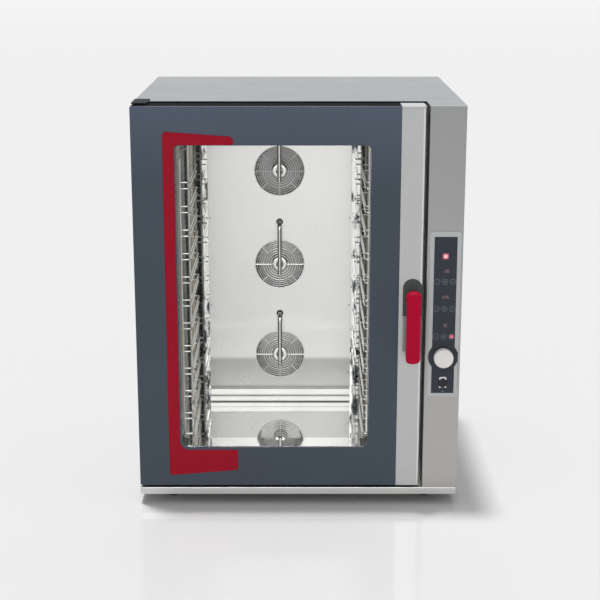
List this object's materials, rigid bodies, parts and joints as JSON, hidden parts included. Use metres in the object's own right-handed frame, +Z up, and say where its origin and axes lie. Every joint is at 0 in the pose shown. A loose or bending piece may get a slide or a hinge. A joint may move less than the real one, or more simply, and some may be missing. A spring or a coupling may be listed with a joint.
{
  "type": "combi steamer oven",
  "caption": "Upright convection steam oven with a hinged glass door, racks for trays, fans behind a baffle and a narrow control column.",
  "frame": {"origin": "on the floor, at the centre of the whole oven's footprint", "axes": "+Z up, -Y the door and controls, +X the side of the control column"},
  "size_m": [0.93, 0.825, 1.18],
  "materials": {
    "brushed_steel": "satin, brushed lengthwise",
    "column_steel": "satin, brushed upright, a little darker",
    "mirror_steel": "bright, almost mirror polished",
    "galvanised_steel": "matt zinc grey",
    "wire_steel": "electropolished stainless wire",
    "heater_steel": "dull, heat tinted",
    "mineral_wool": "loose fibre, matt",
    "silicone": "matt black",
    "printed_glass": "gloss, with a dark printed border, a red band and a clear window",
    "clear_glass": "clear, gloss",
    "door_black": "satin black",
    "cap_grey": "satin",
    "plate_grey": "satin, dark above and lighter below",
    "lever_red": "gloss red",
    "bezel_grey": "satin light grey",
    "overlay_black": "satin foil over the keys and displays",
    "board_green": "lacquered circuit board",
    "knob_grey": "satin pale grey",
    "button_black": "satin black",
    "fan_black": "matt black",
    "motor_grey": "matt dark paint",
    "foot_rubber": "matt black"
  },
  "bodies": {
    "root": {"base_frame": "brushed_steel", "roof_panel": "brushed_steel", "left_side_panel": "brushed_steel", "right_side_panel": "brushed_steel", "back_panel": "galvanised_steel", "front_frame": "brushed_steel", "control_fascia": "column_steel", "foot_front_left": "foot_rubber", "foot_front_right": "foot_rubber", "foot_rear_left": "foot_rubber", "foot_rear_right": "foot_rubber", "cavity_liner": "mirror_steel", "insulation_jacket": "mineral_wool", "door_seal": "silicone", "fan_baffle": "mirror_steel", "baffle_foot": "mirror_steel", "rack_left": "wire_steel", "rack_right": "wire_steel", "drain_filter": "mirror_steel", "cavity_lamp": "clear_glass", "drain_pipe": "galvanised_steel", "water_inlet": "galvanised_steel", "cable_gland": "button_black", "vent_pipe": "galvanised_steel", "cooling_fan_frame": "fan_black", "cooling_fan_guard": "galvanised_steel", "upper_hinge_bracket": "galvanised_steel", "lower_hinge_bracket": "galvanised_steel", "latch_striker": "galvanised_steel", "control_bezel": "bezel_grey", "control_overlay": "overlay_black", "control_board": "board_green", "fan_guard_bottom": "wire_steel", "steam_pipe_bottom": "mirror_steel", "heater_ring_bottom": "heater_steel", "fan_motor_bottom": "motor_grey", "fan_guard_middle": "wire_steel", "steam_pipe_middle": "mirror_steel", "heater_ring_middle": "heater_steel", "fan_motor_middle": "motor_grey", "fan_guard_top": "wire_steel", "steam_pipe_top": "mirror_steel", "heater_ring_top": "heater_steel", "fan_motor_top": "motor_grey"},
    "top_fan": {"fan_wheel_top": "mirror_steel"},
    "middle_fan": {"fan_wheel_middle": "mirror_steel"},
    "bottom_fan": {"fan_wheel_bottom": "mirror_steel"},
    "vent_valve": {"vent_flap": "galvanised_steel"},
    "cooling_rotor": {"cooling_fan_rotor": "fan_black"},
    "encoder": {"encoder_shaft": "galvanised_steel"},
    "knob": {"selector_knob": "knob_grey"},
    "start_key": {"start_button": "button_black"},
    "door": {"door_frame": "door_black", "door_outer_glass": "printed_glass", "door_inner_glass": "clear_glass", "door_side_profile": "brushed_steel", "door_profile_cap": "cap_grey", "handle_backplate": "plate_grey"},
    "handle": {"handle_lever": "lever_red", "latch_hook": "galvanised_steel"}
  },
  "joints": [
    {"name": "top_fan_spin", "type": "hinge", "parent": "root", "child": "top_fan", "pos_m": [-0.059, 0.146, 0.9151], "axis": [0, 1, 0], "continuous": true},
    {"name": "middle_fan_spin", "type": "hinge", "parent": "root", "child": "middle_fan", "pos_m": [-0.059, 0.146, 0.6154], "axis": [0, 1, 0], "continuous": true},
    {"name": "bottom_fan_spin", "type": "hinge", "parent": "root", "child": "bottom_fan", "pos_m": [-0.059, 0.146, 0.3157], "axis": [0, 1, 0], "continuous": true},
    {"name": "vent_flap_turn", "type": "hinge", "parent": "root", "child": "vent_valve", "pos_m": [0.203, 0.3, 1.026], "axis": [1, 0, 0], "range_deg": [0, 90]},
    {"name": "cooling_rotor_spin", "type": "hinge", "parent": "root", "child": "cooling_rotor", "pos_m": [0.365, 0.3797, 0.3], "axis": [0, 1, 0], "continuous": true},
    {"name": "encoder_push", "type": "slide", "parent": "root", "child": "encoder", "axis": [0, 1, 0], "range_m": [0, 0.0015], "stiffness_N_per_m": 1500, "springref_m": -0.001},
    {"name": "knob_turn", "type": "hinge", "parent": "encoder", "child": "knob", "pos_m": [0.4155, -0.3695, 0.454], "axis": [0, 1, 0], "continuous": true},
    {"name": "start_press", "type": "slide", "parent": "root", "child": "start_key", "axis": [0, 1, 0], "range_m": [0, 0.002], "stiffness_N_per_m": 1200, "springref_m": -0.001},
    {"name": "door_swing", "type": "hinge", "parent": "root", "child": "door", "pos_m": [-0.452, -0.312, 0.616], "axis": [0, 0, -1], "range_deg": [0, 120]},
    {"name": "handle_turn", "type": "hinge", "parent": "door", "child": "handle", "pos_m": [0.3255, -0.3678, 0.63], "axis": [0, 1, 0], "range_deg": [0, 90], "stiffness_Nm_per_rad": 0.6, "springref_deg": -20.05}
  ]
}
